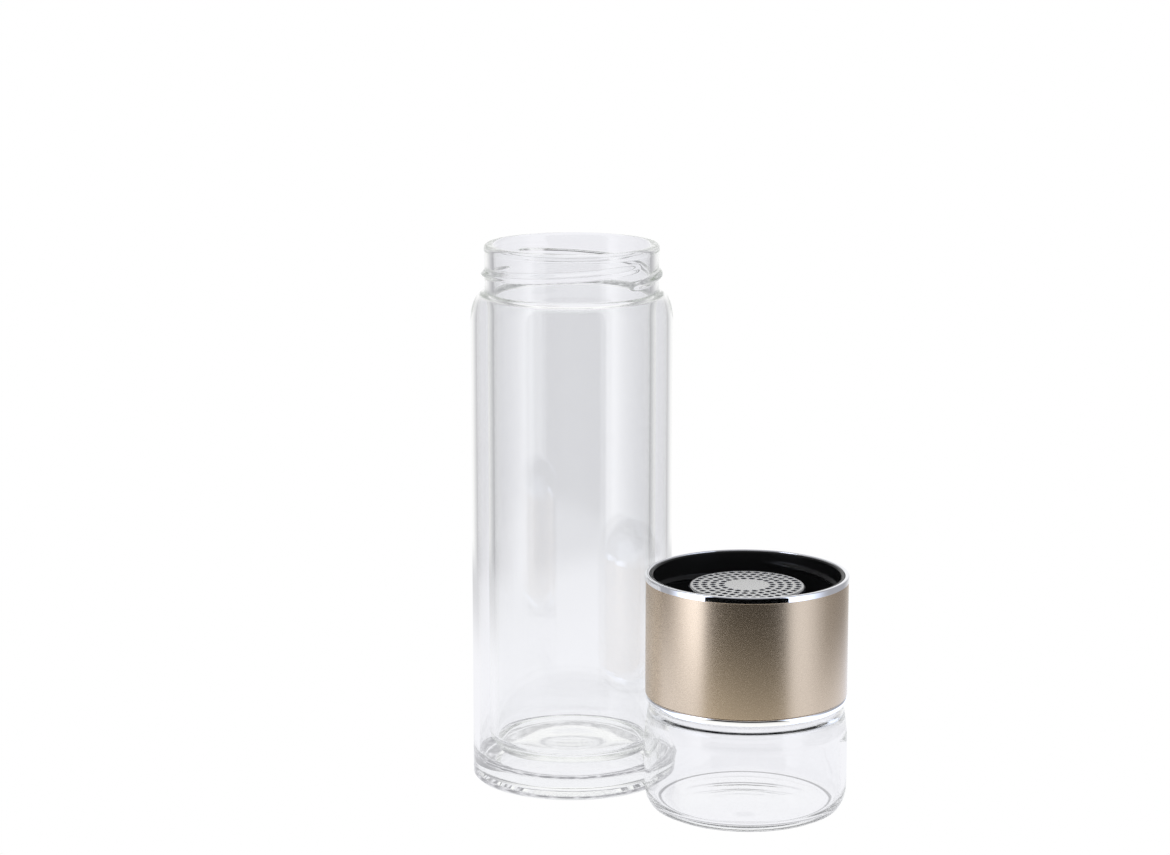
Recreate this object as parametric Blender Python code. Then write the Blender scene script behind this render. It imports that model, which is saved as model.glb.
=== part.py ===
"""A tea flask, taken apart as for pouring: the bottle, and beside it the infuser that closes it.

The bottle is double-walled glass with a threaded neck. The infuser is a small glass tea cup with a
collar screwed over its neck. The collar has a threaded socket at each end, one for the bottle and
one for the cup, and between them a steel strainer that lifts out for cleaning.

Lengths are in metres and +Z is up. Both parts stand on the plane z = 0, and the origin is the
middle of the ground that they cover. Each piece is drawn about the axis of the part that it is in.
"""

import math

import bmesh
import bpy

# Every round piece has this many sides, and pieces that touch keep this gap.
turn_segments = 40
join_gap = 0.0003
cut_overrun = 0.002
sharp_angle = math.radians(40)

# Necks and threads. The bottle and the cup have the same neck, so both fit the same socket.
neck_bore_radius = 0.0255
neck_wall = 0.0029
lip_swell = 0.0002
lip_round = 0.0013
lip_land = 0.0006
lip_fade = 0.0008
thread_starts = 2
thread_lead = 0.0110
thread_runout_deg = 26.0
bead_height = 0.0012
bead_half_width = 0.0015
bead_below_lip = 0.0113
ridge_half_width = 0.0010
ridge_from_seal = 0.0117
bead_crest_shares = ((-1.0, 0.0), (-0.5, 0.85), (0.0, 1.0), (0.5, 0.85), (1.0, 0.0))

# Bottle. One piece of fused glass, drawn as its liner, its jacket and its thick base.
bottle_height = 0.1785
bottle_neck_height = 0.0151
bottle_thread_deg = 126.0
liner_wall = 0.0020
air_space = 0.0036
jacket_wall = 0.0019
jacket_shoulder_drop = 0.0091
jacket_foot_fillet = 0.0040
jacket_fillet_end_deg = 60.0
liner_lift = 0.0045
liner_floor = 0.0022
liner_outer_corner = 0.0080
liner_inner_corner = 0.0060
base_height = 0.0060
base_edge_round = 0.0008
base_land = 0.0060
base_recess = 0.0010
base_recess_slope = 0.0020

# Tea cup
cup_overhang = 0.00025
cup_height = 0.0520
cup_neck_height = 0.0174
cup_thread_deg = 20.0
cup_wall = 0.0020
cup_taper_height = 0.0107
cup_taper = 0.0012
cup_shoulder_round = 0.0020
cup_inner_shoulder_drop = 0.0080
cup_shoulder_wall = 0.0022
cup_foot_round = 0.0045
cup_foot_round_height = 0.0083
cup_inner_corner = 0.0060
cup_foot_land = 0.0020
cup_punt = 0.0010
cup_punt_slope = 0.0080
cup_floor = 0.0026

# Collar: plastic core, metal sleeve and two bright rings
thread_clearance = 0.0005
ridge_clearance = 0.0004
core_wall = 0.00145
sleeve_wall = 0.0006
socket_lead_in = 0.0004
collar_above_cup = 0.0006
bottle_socket_depth = 0.0157
bottle_socket_thread_deg = -96.0
partition_thickness = 0.0051
ring_step = 0.0003
top_ring_overhang = 0.0002
top_ring_height = 0.0017
top_ring_round = 0.0011
bottom_ring_inset = 0.00005
bottom_ring_height = 0.0024
bottom_ring_round = 0.0011

# Seals
seal_overhang = 0.0010
cup_seal_thickness = 0.0017
bottle_seal_thickness = 0.0018
seal_chamfer = 0.0004

# Strainer and the gasket that holds it in the partition
strainer_space = 0.0068
strainer_rise = 0.0139
strainer_sheet = 0.0008
strainer_edge_round = 0.0015
strainer_flange = 0.0009
strainer_foot_inset = 0.0008
hole_radius = 0.00075
hole_sides = 6
hole_spacing = 0.0027
hole_margin = 0.0022
hole_ring_step = 0.00277
hole_rings = 4
gasket_wall = 0.0009
gasket_lip = 0.0014
gasket_lip_thickness = 0.0012

# How the two parts stand on the table
stand_gap = 0.0006
stand_angle = math.radians(-32.1)

# Radii of the necks and of the sockets that they screw into
neck_radius = neck_bore_radius + neck_wall
lip_radius = neck_radius + lip_swell
socket_bore_radius = neck_radius + bead_height + thread_clearance
ridge_height = socket_bore_radius - lip_radius - ridge_clearance

# Radii and heights in the bottle
liner_radius = neck_bore_radius + liner_wall
bottle_radius = liner_radius + air_space + jacket_wall
neck_root = bottle_height - bottle_neck_height
jacket_top = neck_root - join_gap
jacket_foot = base_height + join_gap
liner_base = base_height + liner_lift
liner_floor_top = liner_base + liner_floor

# Heights in the infuser, from the cup up to the collar's rim
cup_root = cup_height - cup_neck_height
collar_bottom = cup_root + collar_above_cup
core_bottom = collar_bottom + bottom_ring_height + join_gap
cup_seal_bottom = cup_height + join_gap
cup_seal_top = cup_seal_bottom + cup_seal_thickness
partition_bottom = cup_seal_top + join_gap
partition_top = partition_bottom + partition_thickness
bottle_seal_bottom = partition_top + join_gap
bottle_seal_top = bottle_seal_bottom + bottle_seal_thickness
collar_top = bottle_seal_top + bottle_socket_depth
core_top = collar_top - top_ring_height - join_gap

# Radii in the infuser, from the strainer out to the collar
strainer_radius = neck_bore_radius - strainer_space
outer_hole_ring_radius = strainer_radius - hole_margin
gasket_inner_radius = strainer_radius + join_gap
gasket_radius = gasket_inner_radius + gasket_wall
partition_hole_radius = gasket_radius + join_gap
seal_inner_radius = neck_bore_radius - seal_overhang
seal_radius = socket_bore_radius - join_gap
core_radius = socket_bore_radius + core_wall
sleeve_inner_radius = core_radius + join_gap
collar_radius = sleeve_inner_radius + sleeve_wall
ring_inner_radius = socket_bore_radius + ring_step
top_ring_radius = collar_radius + top_ring_overhang
bottom_ring_radius = collar_radius - bottom_ring_inset
cup_radius = collar_radius + cup_overhang
infuser_radius = max(cup_radius, top_ring_radius)

# Places on the table. The two parts keep their gap, and the ground that they cover is centred.
stand_distance = bottle_radius + infuser_radius + stand_gap
infuser_x = stand_distance * math.cos(stand_angle)
infuser_y = stand_distance * math.sin(stand_angle)
middle_x = (infuser_x + infuser_radius - bottle_radius) / 2
middle_y = (infuser_y - infuser_radius + bottle_radius) / 2
bottle_place = (-middle_x, -middle_y, 0)
infuser_place = (infuser_x - middle_x, infuser_y - middle_y, 0)

start_turn_deg = 360.0 / thread_starts
start_span_deg = start_turn_deg - 360.0 / turn_segments


def clear_scene():
    """Remove what the new file holds."""
    for thing in list(bpy.data.objects):
        bpy.data.objects.remove(thing, do_unlink=True)


def finish(name, colour, roughness, metallic, clearness=0.0):
    """Make a plain finish. A clearness above zero makes it glass that lets that share of light through."""
    material = bpy.data.materials.new(name)
    material.use_nodes = True
    shader = material.node_tree.nodes["Principled BSDF"]
    shader.inputs["Base Color"].default_value = (*colour, 1.0)
    shader.inputs["Roughness"].default_value = roughness
    shader.inputs["Metallic"].default_value = metallic
    shader.inputs["Transmission Weight"].default_value = clearness
    material.diffuse_color = (*colour, 1.0)
    return material


def axis_empty(name, place):
    """An empty on the axis that the pieces of one part are turned about."""
    empty = bpy.data.objects.new(name, None)
    empty.location = place
    bpy.context.collection.objects.link(empty)
    return empty


def arc(centre, reach, start_deg, end_deg, steps):
    """Points on an ellipse in the (radius, height) plane, with both ends."""
    points = []
    for step in range(steps + 1):
        angle = math.radians(start_deg + (end_deg - start_deg) * step / steps)
        points.append((centre[0] + reach[0] * math.cos(angle), centre[1] + reach[1] * math.sin(angle)))
    return points


def thread(angle, wall_radius, height, half_width, low_z, low_deg):
    """Points of one upright cut through a screw thread on a wall, from the lowest to the highest.

    The thread has equal starts that climb to the right by the lead in each turn. A start begins at
    low_deg with its middle at low_z, and its height fades to nothing at both ends. A height above
    zero stands out from the wall, as on a neck, and one below zero stands in, as in a socket.
    """
    along_deg = (math.degrees(angle) - low_deg) % start_turn_deg
    middle = low_z + thread_lead * along_deg / 360.0
    fade = min(1.0, along_deg / thread_runout_deg, (start_span_deg - along_deg) / thread_runout_deg)
    reach = height * max(0.0, fade)
    return [(wall_radius + reach * rise, middle + half_width * offset) for offset, rise in bead_crest_shares]


def lip(top):
    """The rounded mouth of a neck, from its outer side over the top to its bore."""
    outer = arc((lip_radius - lip_round, top - lip_round), (lip_round, lip_round), 0, 90, 3)
    inner = arc((neck_bore_radius + lip_round, top - lip_round), (lip_round, lip_round), 90, 180, 2)
    below = top - lip_round - lip_land
    return [(neck_radius, below - lip_fade), (lip_radius, below)] + outer + inner


def turned(name, outline_at, material, parent, capped=False):
    """Turn an outline about the parent's axis into one closed solid.

    outline_at(angle) gives the outline's (radius, height) points at an angle. A capped outline runs
    from a flat face on the axis to another, and any other outline is a closed ring.
    """
    solid = bmesh.new()
    rings = []
    for side in range(turn_segments):
        angle = 2 * math.pi * side / turn_segments
        rings.append([solid.verts.new((radius * math.cos(angle), radius * math.sin(angle), height))
                      for radius, height in outline_at(angle)])
    count = len(rings[0])
    rows = count - 1 if capped else count
    for side, here in enumerate(rings):
        there = rings[(side + 1) % turn_segments]
        for row in range(rows):
            above = (row + 1) % count
            solid.faces.new((here[row], there[row], there[above], here[above]))
    if capped:
        solid.faces.new([ring[0] for ring in rings])
        solid.faces.new([ring[-1] for ring in rings])
    bmesh.ops.recalc_face_normals(solid, faces=solid.faces)
    return placed(name, solid, material, parent)


def placed(name, solid, material, parent):
    """Put a finished bmesh into the scene as a named object under its axis."""
    mesh = bpy.data.meshes.new(name)
    solid.to_mesh(mesh)
    solid.free()
    mesh.materials.append(material)
    mesh.shade_smooth()
    mesh.set_sharp_from_angle(angle=sharp_angle)
    piece = bpy.data.objects.new(name, mesh)
    piece.parent = parent
    bpy.context.collection.objects.link(piece)
    return piece


def bottle_liner_outline(angle):
    """The inner vessel with its neck, from the underside round the lip to the floor."""
    corner = liner_outer_corner
    outside = arc((liner_radius - corner, liner_base + corner), (corner, corner), -90, 0, 4)
    beads = thread(angle, neck_radius, bead_height, bead_half_width,
                   bottle_height - bead_below_lip, bottle_thread_deg)
    neck = [(liner_radius, neck_root), (neck_radius, neck_root)] + beads
    corner = liner_inner_corner
    inside = arc((neck_bore_radius - corner, liner_floor_top + corner), (corner, corner), 0, -90, 4)
    return outside + neck + lip(bottle_height) + inside


def bottle_jacket_outline(angle):
    """The outer wall, from its foot up the outside, over the shoulder and down the inside."""
    shoulder_z = jacket_top - jacket_shoulder_drop
    shoulder = arc((neck_radius, shoulder_z), (bottle_radius - neck_radius, jacket_shoulder_drop), 0, 90, 6)
    seat = liner_radius + join_gap
    inner_radius = bottle_radius - jacket_wall
    inner_drop = jacket_shoulder_drop - jacket_wall
    under = arc((neck_radius, shoulder_z), (inner_radius - neck_radius, inner_drop), 90, 0, 4)
    fillet = jacket_foot_fillet
    foot = arc((inner_radius - fillet, jacket_foot + fillet), (fillet, fillet), 0, -jacket_fillet_end_deg, 3)
    return ([(bottle_radius, jacket_foot)] + shoulder + [(seat, jacket_top), (seat, shoulder_z + inner_drop)]
            + under + foot + [(foot[-1][0], jacket_foot)])


def bottle_base_outline(angle):
    """The thick bottom: a disc that stands on a flat ring round a shallow recess."""
    edge = base_edge_round
    land_inner = bottle_radius - edge - base_land
    rounded = arc((bottle_radius - edge, edge), (edge, edge), -90, 0, 3)
    return ([(land_inner - base_recess_slope, base_recess), (land_inner, 0)] + rounded
            + [(bottle_radius, base_height), (liner_radius, base_height)])


def tea_cup_outline(angle):
    """The small glass, from under its floor, up the outside, over the lip and down to the floor."""
    foot_z = cup_foot_round_height
    foot_radius = cup_radius - cup_foot_round
    foot = arc((foot_radius, foot_z), (cup_foot_round, foot_z), -90, 0, 5)
    stand = [(foot_radius - cup_foot_land - cup_punt_slope, cup_punt), (foot_radius - cup_foot_land, 0)]
    edge = cup_shoulder_round
    taper_radius = (cup_taper_height ** 2 + cup_taper ** 2) / (2 * cup_taper)
    taper_turn = math.asin(cup_taper_height / taper_radius)
    taper_deg = math.degrees(taper_turn)
    taper_z = cup_root - edge * (1 - math.sin(taper_turn)) - cup_taper_height
    taper = arc((cup_radius - taper_radius, taper_z), (taper_radius, taper_radius), 0, taper_deg, 3)
    shoulder = arc((cup_radius - cup_taper - edge * math.cos(taper_turn), cup_root - edge), (edge, edge),
                   taper_deg, 90, 3)
    beads = thread(angle, neck_radius, bead_height, bead_half_width,
                   cup_height - bead_below_lip, cup_thread_deg)
    neck = [(neck_radius, cup_root)] + beads
    inner_radius = cup_radius - cup_wall
    drop = cup_inner_shoulder_drop
    under_z = cup_root - cup_shoulder_wall - drop
    under = arc((neck_bore_radius, under_z), (inner_radius - neck_bore_radius, drop), 90, 0, 4)
    corner = cup_inner_corner
    inside = arc((inner_radius - corner, cup_floor + cup_punt + corner), (corner, corner), 0, -90, 4)
    return stand + foot + taper + shoulder[1:] + neck + lip(cup_height) + under + inside


def thread_climb():
    """How far one start climbs from its low end to its high end."""
    return thread_lead * start_span_deg / 360.0


def cup_ridge_deg():
    """Where the ridges in the cup's socket begin, so that they run midway between the cup's beads."""
    pitch = thread_lead / thread_starts
    step_up = (cup_height - ridge_from_seal) - (cup_height - bead_below_lip - pitch / 2)
    return cup_thread_deg + 360.0 * step_up / thread_lead


def collar_core_outline(angle):
    """The plastic body: an outer wall, the bottle's socket, the partition and the cup's socket."""
    bore = socket_bore_radius
    above = thread(angle, bore, -ridge_height, ridge_half_width,
                   bottle_seal_top + ridge_from_seal - thread_climb(), bottle_socket_thread_deg)
    below = thread(angle, bore, -ridge_height, ridge_half_width, cup_height - ridge_from_seal,
                   cup_ridge_deg())
    wide = bore + socket_lead_in
    return ([(core_radius, core_bottom), (core_radius, core_top), (wide, core_top),
             (bore, core_top - socket_lead_in)] + above[::-1]
            + [(bore, partition_top), (partition_hole_radius, partition_top),
               (partition_hole_radius, partition_bottom), (bore, partition_bottom)] + below[::-1]
            + [(bore, core_bottom + socket_lead_in), (wide, core_bottom)])


def collar_sleeve_outline(angle):
    """The metal tube round the core."""
    inner = sleeve_inner_radius
    return [(collar_radius, core_bottom), (collar_radius, core_top), (inner, core_top), (inner, core_bottom)]


def top_ring_outline(angle):
    """The bright rim that covers the upper ends of the sleeve and the core."""
    low = core_top + join_gap
    edge = top_ring_round
    outer = arc((top_ring_radius - edge, collar_top - edge), (edge, edge), 0, 90, 3)
    inner = arc((ring_inner_radius + edge, collar_top - edge), (edge, edge), 90, 180, 2)
    return [(top_ring_radius, low)] + outer + inner + [(ring_inner_radius, low)]


def bottom_ring_outline(angle):
    """The bright rim under the lower ends of the sleeve and the core."""
    high = core_bottom - join_gap
    edge = bottom_ring_round
    outer = arc((bottom_ring_radius - edge, collar_bottom + edge), (edge, edge), -90, 0, 3)
    return ([(ring_inner_radius, collar_bottom)] + outer
            + [(bottom_ring_radius, high), (ring_inner_radius, high)])


def seal_outline(low, high):
    """A flat silicone ring between two heights, with its upper edges cut off."""
    cut = seal_chamfer
    inner = seal_inner_radius
    outer = seal_radius
    return [(inner, low), (outer, low), (outer, high - cut), (outer - cut, high), (inner + cut, high),
            (inner, high - cut)]


def strainer_outline(angle):
    """A steel cap, open below, with a flange round its foot. It runs from the top to under the top."""
    edge = strainer_edge_round
    top = partition_top + strainer_rise
    foot = partition_bottom + strainer_foot_inset
    inner = strainer_radius - strainer_sheet
    inner_edge = edge - strainer_sheet
    crown = arc((strainer_radius - edge, top - edge), (edge, edge), 90, 0, 3)
    under = arc((inner - inner_edge, top - edge), (inner_edge, inner_edge), 0, 90, 2)
    flange = strainer_radius + strainer_flange
    return (crown + [(strainer_radius, foot + strainer_sheet), (flange, foot + strainer_sheet),
                     (flange, foot), (inner, foot)] + under)


def gasket_outline(angle):
    """The silicone sleeve round the strainer's foot, with a lip that lies on the partition."""
    low = partition_bottom + strainer_foot_inset + strainer_sheet + join_gap
    lip_bottom = partition_top + join_gap
    lip_radius_out = gasket_radius + gasket_lip
    lip_top = lip_bottom + gasket_lip_thickness
    return [(gasket_inner_radius, low), (gasket_radius, low), (gasket_radius, lip_bottom),
            (lip_radius_out, lip_bottom), (lip_radius_out, lip_top - seal_chamfer),
            (lip_radius_out - seal_chamfer, lip_top), (gasket_inner_radius, lip_top)]


def strainer_hole_cutters(parent):
    """Upright pegs, in rings about the axis, that cut the strainer's holes."""
    top = partition_top + strainer_rise
    pegs = bmesh.new()
    for ring in range(hole_rings):
        ring_radius = outer_hole_ring_radius - ring * hole_ring_step
        holes = round(2 * math.pi * ring_radius / hole_spacing)
        for hole in range(holes):
            turn = 2 * math.pi * hole / holes
            middle = (ring_radius * math.cos(turn), ring_radius * math.sin(turn))
            add_peg(pegs, middle, turn, top - strainer_sheet - cut_overrun, top + cut_overrun)
    cutter = placed("strainer_hole_cutters", pegs, cutter_finish, parent)
    cutter.hide_render = True
    cutter.display_type = "WIRE"
    return cutter


def add_peg(pegs, middle, turn, low, high):
    """Add one closed peg of hole size between two heights."""
    rims = []
    for height in (low, high):
        rim = []
        for side in range(hole_sides):
            angle = turn + 2 * math.pi * (side + 0.5) / hole_sides
            rim.append(pegs.verts.new((middle[0] + hole_radius * math.cos(angle),
                                       middle[1] + hole_radius * math.sin(angle), height)))
        rims.append(rim)
    low_rim, high_rim = rims
    for side in range(hole_sides):
        after = (side + 1) % hole_sides
        pegs.faces.new((low_rim[side], low_rim[after], high_rim[after], high_rim[side]))
    pegs.faces.new(low_rim[::-1])
    pegs.faces.new(high_rim)


clear_scene()

glass = finish("clear_glass", (0.93, 0.96, 0.95), 0.02, 0.0, clearness=1.0)
gold = finish("champagne_metal", (0.60, 0.49, 0.37), 0.32, 1.0)
bright = finish("bright_chrome", (0.82, 0.82, 0.84), 0.08, 1.0)
black = finish("black_plastic", (0.012, 0.012, 0.013), 0.35, 0.0)
steel = finish("strainer_steel", (0.62, 0.61, 0.60), 0.28, 1.0)
silicone = finish("clear_silicone", (0.78, 0.78, 0.76), 0.55, 0.0)
cutter_finish = finish("cutter", (0.5, 0.5, 0.5), 0.5, 0.0)

bottle_axis = axis_empty("bottle_axis", bottle_place)
infuser_axis = axis_empty("infuser_axis", infuser_place)

turned("bottle_liner", bottle_liner_outline, glass, bottle_axis, capped=True)
turned("bottle_jacket", bottle_jacket_outline, glass, bottle_axis)
turned("bottle_base", bottle_base_outline, glass, bottle_axis, capped=True)

turned("tea_cup", tea_cup_outline, glass, infuser_axis, capped=True)
turned("cup_seal", lambda angle: seal_outline(cup_seal_bottom, cup_seal_top), silicone, infuser_axis)
turned("collar_core", collar_core_outline, black, infuser_axis)
turned("collar_sleeve", collar_sleeve_outline, gold, infuser_axis)
turned("collar_top_ring", top_ring_outline, bright, infuser_axis)
turned("collar_bottom_ring", bottom_ring_outline, bright, infuser_axis)
turned("bottle_seal", lambda angle: seal_outline(bottle_seal_bottom, bottle_seal_top), silicone,
       infuser_axis)
turned("strainer_gasket", gasket_outline, silicone, infuser_axis)

strainer = turned("strainer", strainer_outline, steel, infuser_axis, capped=True)
holes = strainer.modifiers.new("holes", "BOOLEAN")
holes.operation = "DIFFERENCE"
holes.object = strainer_hole_cutters(infuser_axis)
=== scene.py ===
# %% [markdown]
# # The looks of a glass tea flask
#
# This lesson dresses a finished construction model. The model has two parts that stand side by side:
# a double-walled glass bottle, and the infuser that screws onto it, which is a small glass tea cup
# with a metal-clad collar and a steel strainer. Nearly every piece is round, so nearly every piece
# is an outline turned about an axis. What makes it look real is glass with true walls, a studio that
# glass and metal can reflect, and finishes with some fine grain.

# %% Load the construction model
import math

import bpy
import numpy as np
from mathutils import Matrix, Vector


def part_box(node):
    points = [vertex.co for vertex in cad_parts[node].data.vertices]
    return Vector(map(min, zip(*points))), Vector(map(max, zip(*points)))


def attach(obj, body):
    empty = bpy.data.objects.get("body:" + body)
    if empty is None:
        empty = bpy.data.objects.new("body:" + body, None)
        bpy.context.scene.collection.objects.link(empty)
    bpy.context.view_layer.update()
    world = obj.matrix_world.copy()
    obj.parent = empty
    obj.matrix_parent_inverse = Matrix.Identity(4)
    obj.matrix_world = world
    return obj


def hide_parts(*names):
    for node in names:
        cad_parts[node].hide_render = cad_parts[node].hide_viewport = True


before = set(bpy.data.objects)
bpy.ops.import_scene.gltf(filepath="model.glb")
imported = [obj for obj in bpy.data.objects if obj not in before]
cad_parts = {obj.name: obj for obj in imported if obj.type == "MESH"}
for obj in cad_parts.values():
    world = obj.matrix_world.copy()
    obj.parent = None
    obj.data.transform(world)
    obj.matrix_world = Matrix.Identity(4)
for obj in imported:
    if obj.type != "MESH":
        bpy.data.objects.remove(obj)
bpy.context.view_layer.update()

# %% [markdown]
# ## Where the two axes stand
#
# Every piece is turned about the bottle's axis or the infuser's. Both can be read from the model:
# the middle of a round node's box is on its axis, and half the box's width is its radius. Reading
# them keeps the looks in place if the model's sizes change.

# %% Read the axes and the main sizes


def middle(node):
    """The point on a round node's axis: the mean of its box's corners, at height 0."""
    low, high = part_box(node)
    return np.array([(low.x + high.x) / 2, (low.y + high.y) / 2, 0.0])


def radius_of(node):
    """A round node's outer radius: half the width of its box."""
    low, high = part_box(node)
    return (high.x - low.x) / 2


def low_of(node):
    """The height of a node's lowest point, from its box."""
    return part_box(node)[0].z


def high_of(node):
    """The height of a node's highest point, from its box."""
    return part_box(node)[1].z


bottle_axis = middle("bottle_jacket")
infuser_axis = middle("tea_cup")
bottle_radius = radius_of("bottle_jacket")
bottle_height = high_of("bottle_liner")
print(f"Bottle radius {bottle_radius * 1000:.1f} mm, height {bottle_height * 1000:.1f} mm")

# %% [markdown]
# ## Outlines
#
# A turned piece starts as an outline in a flat plane that holds the axis: how far out, and how high.
# A lathe worker would cut it from a template made of straight runs and rounds, so those are the main
# tools here, with a shallow dome for floors. Each gives a whole array of points, which numpy joins.
# A run keeps a little way off both of its ends. Where it meets a round, the narrow face between them
# keeps the long face's shading flat, and where two runs meet, it is a fine bevel.

# %% Straight runs and rounds
run_inset = 0.00004


def arc(centre, reach, start_deg, end_deg, steps):
    """Points on a round: centre plus reach times the cosine and the sine of even angles.

    The reach is one number for a circle, or two for an ellipse, outwards and upwards.
    """
    turn = np.radians(np.linspace(start_deg, end_deg, steps + 1))
    return centre + np.asarray(reach) * np.column_stack([np.cos(turn), np.sin(turn)])


def run(start, end, steps=1):
    """Evenly spaced points on a straight line: start plus a share of the way to the end."""
    start, end = np.asarray(start), np.asarray(end)
    inset = run_inset / np.hypot(*(end - start))
    share = np.linspace(inset, 1.0 - inset, steps + 1)[:, None]
    return start * (1 - share) + end * share


def runs(corners, steps):
    """Straight runs from each corner to the next, each with its own number of steps."""
    return np.concatenate([run(*ends) for ends in zip(corners, corners[1:], steps)])


def dome(reach, low, rise, steps):
    """A shallow dome from the axis out to its reach: half a cosine wave, level at both ends."""
    radius = reach * np.linspace(0.0, 1.0, steps + 1)
    return np.column_stack([radius, low + rise * (1 + np.cos(np.pi * radius / reach)) / 2])


def pole(height):
    """The point of an outline that is on the axis."""
    return np.array([[0.0, height]])


# %% [markdown]
# ## Turning an outline into a surface
#
# Blender's Screw modifier can turn an outline, but it can't change the outline on the way round, and
# a thread has to do just that. So the surface is a grid in two parameters: the place along the
# outline, and the angle about the axis. A stretch of outline is either the same at every angle, or a
# whole grid of its own, as a threaded wall is.

# %% The turned surface
sides = 256
turns = 2 * np.pi * np.arange(sides) / sides
sharp_deg = 35


def grid_faces(columns, rows):
    """Quads of a grid that closes round: the corners are (i, j), (i+1, j), (i+1, j+1), (i, j+1)."""
    i = np.arange(columns)[:, None]
    j = np.arange(rows - 1)[None, :]
    after = (i + 1) % columns
    corners = [i * rows + j, after * rows + j, after * rows + j + 1, i * rows + j + 1]
    return np.stack(corners, axis=-1).reshape(-1, 4)


def turned_points(*stretches):
    """Points of an outline turned about the axis, as a grid of columns and rows.

    A point at radius r and height z on column t becomes (r cos t, r sin t, z).
    """
    outline = np.concatenate([np.broadcast_to(stretch, (sides, *np.shape(stretch)[-2:]))
                              for stretch in stretches], axis=1)
    radius, height = outline[..., 0], outline[..., 1]
    x = radius * np.cos(turns[:, None])
    y = radius * np.sin(turns[:, None])
    return np.stack([x, y, height], axis=-1)


def turned(*stretches):
    """A turned surface whose outline starts and ends on the axis, with one point at each pole."""
    points = turned_points(*stretches)
    rows = points.shape[1]
    inner = points[:, 1:-1].reshape(-1, 3)
    first = np.arange(sides) * (rows - 2)
    last = first + rows - 3
    low_pole, high_pole = len(inner), len(inner) + 1
    low_fan = np.column_stack([np.full(sides, low_pole), np.roll(first, -1), first])
    high_fan = np.column_stack([last, np.roll(last, -1), np.full(sides, high_pole)])
    poles = np.stack([points[0, 0], points[0, -1]])
    return np.concatenate([inner, poles]), [grid_faces(sides, rows - 2), low_fan, high_fan]


def turned_ring(*stretches):
    """A turned surface whose outline meets itself: the grid's last row is joined to its first."""
    points = turned_points(*stretches)
    rows = points.shape[1]
    column, row = np.divmod(grid_faces(sides, rows + 1), rows + 1)
    return points.reshape(-1, 3), [column * rows + row % rows]


def joined(*surfaces):
    """Several surfaces as one: each one's faces count on from the points before it."""
    points = np.concatenate([surface[0] for surface in surfaces])
    starts = np.cumsum([0] + [len(surface[0]) for surface in surfaces[:-1]])
    faces = [face + start for surface, start in zip(surfaces, starts) for face in surface[1]]
    return points, faces


def piece(name, surface, axis, look, body, replaced):
    """Make one piece from a surface: its mesh, its finish, the body it moves with and its nodes."""
    points, faces = surface
    mesh = bpy.data.meshes.new(name)
    mesh.from_pydata((points + axis).tolist(), [], [face for group in faces for face in group.tolist()])
    mesh.validate()
    mesh.shade_smooth()
    mesh.set_sharp_from_angle(angle=math.radians(sharp_deg))
    mesh.materials.append(look)
    made = bpy.data.objects.new(name, mesh)
    bpy.context.collection.objects.link(made)
    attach(made, body)
    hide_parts(*replaced)
    print(f"{name}: {len(mesh.vertices)} points, {len(mesh.polygons)} faces")
    return made


# %% [markdown]
# ## Threads
#
# A screw thread is a ridge that climbs as it goes round. It could be a swept tube that is joined to
# the wall, but a moulded thread has no seam. Here the wall itself swells: its radius grows by a
# rounded bump wherever a point of the wall is close to the thread's middle line.

# %% The threaded wall
thread_starts = 2
thread_lead = 0.0110
runout_deg = 24.0


def threaded_wall(radius, low, high, rows, height, half_width, low_z, low_deg, span_deg):
    """A wall whose radius is radius + height * crest * fade.

    The middle line of a start is at low_z + lead * turn / 360. The crest is the square of a cosine
    of the distance from that line, and the fade runs softly from 0 to 1 over the run-out at both
    ends.
    """
    z = np.linspace(low, high, rows)[None, :]
    relief = np.zeros((sides, rows))
    for start in range(thread_starts):
        along = (np.degrees(turns) - low_deg - start * 360.0 / thread_starts) % 360.0
        fade = np.clip(np.minimum(along, span_deg - along) / runout_deg, 0.0, 1.0)
        fade = fade * fade * (3 - 2 * fade)
        distance = (z - (low_z + thread_lead * along / 360.0)[:, None]) / half_width
        crest = np.where(np.abs(distance) < 1, np.cos(distance * np.pi / 2) ** 2, 0.0)
        relief += crest * fade[:, None]
    return np.stack([radius + height * relief, np.broadcast_to(z, relief.shape)], axis=-1)


# %% [markdown]
# ## Writing finishes as sums
#
# A material is a graph of nodes, and a long graph is hard to read. This small class wraps a node's
# output, so that adding or multiplying two of them adds the Math node that does it. Every other node
# comes from one method, which sets the node's own settings first and its sockets after that. Short
# methods built on it give what several finishes need, such as the distance from an axis.

# %% Wires and finishes


class Wire:
    """One output of a node. Sums and products of wires add Math nodes."""

    def __init__(self, finish, socket):
        self.finish = finish
        self.socket = socket

    def other(self, name):
        """Another output of the same node."""
        return Wire(self.finish, self.socket.node.outputs[name])

    def __add__(self, value):
        return self.finish.math("ADD", self, value)

    __radd__ = __add__

    def __mul__(self, value):
        return self.finish.math("MULTIPLY", self, value)

    __rmul__ = __mul__

    def __sub__(self, value):
        return self.finish.math("SUBTRACT", self, value)

    def __rsub__(self, value):
        return self.finish.math("SUBTRACT", value, self)

    def __gt__(self, value):
        return self.finish.math("GREATER_THAN", self, value)

    def __lt__(self, value):
        return self.finish.math("LESS_THAN", self, value)


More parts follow.
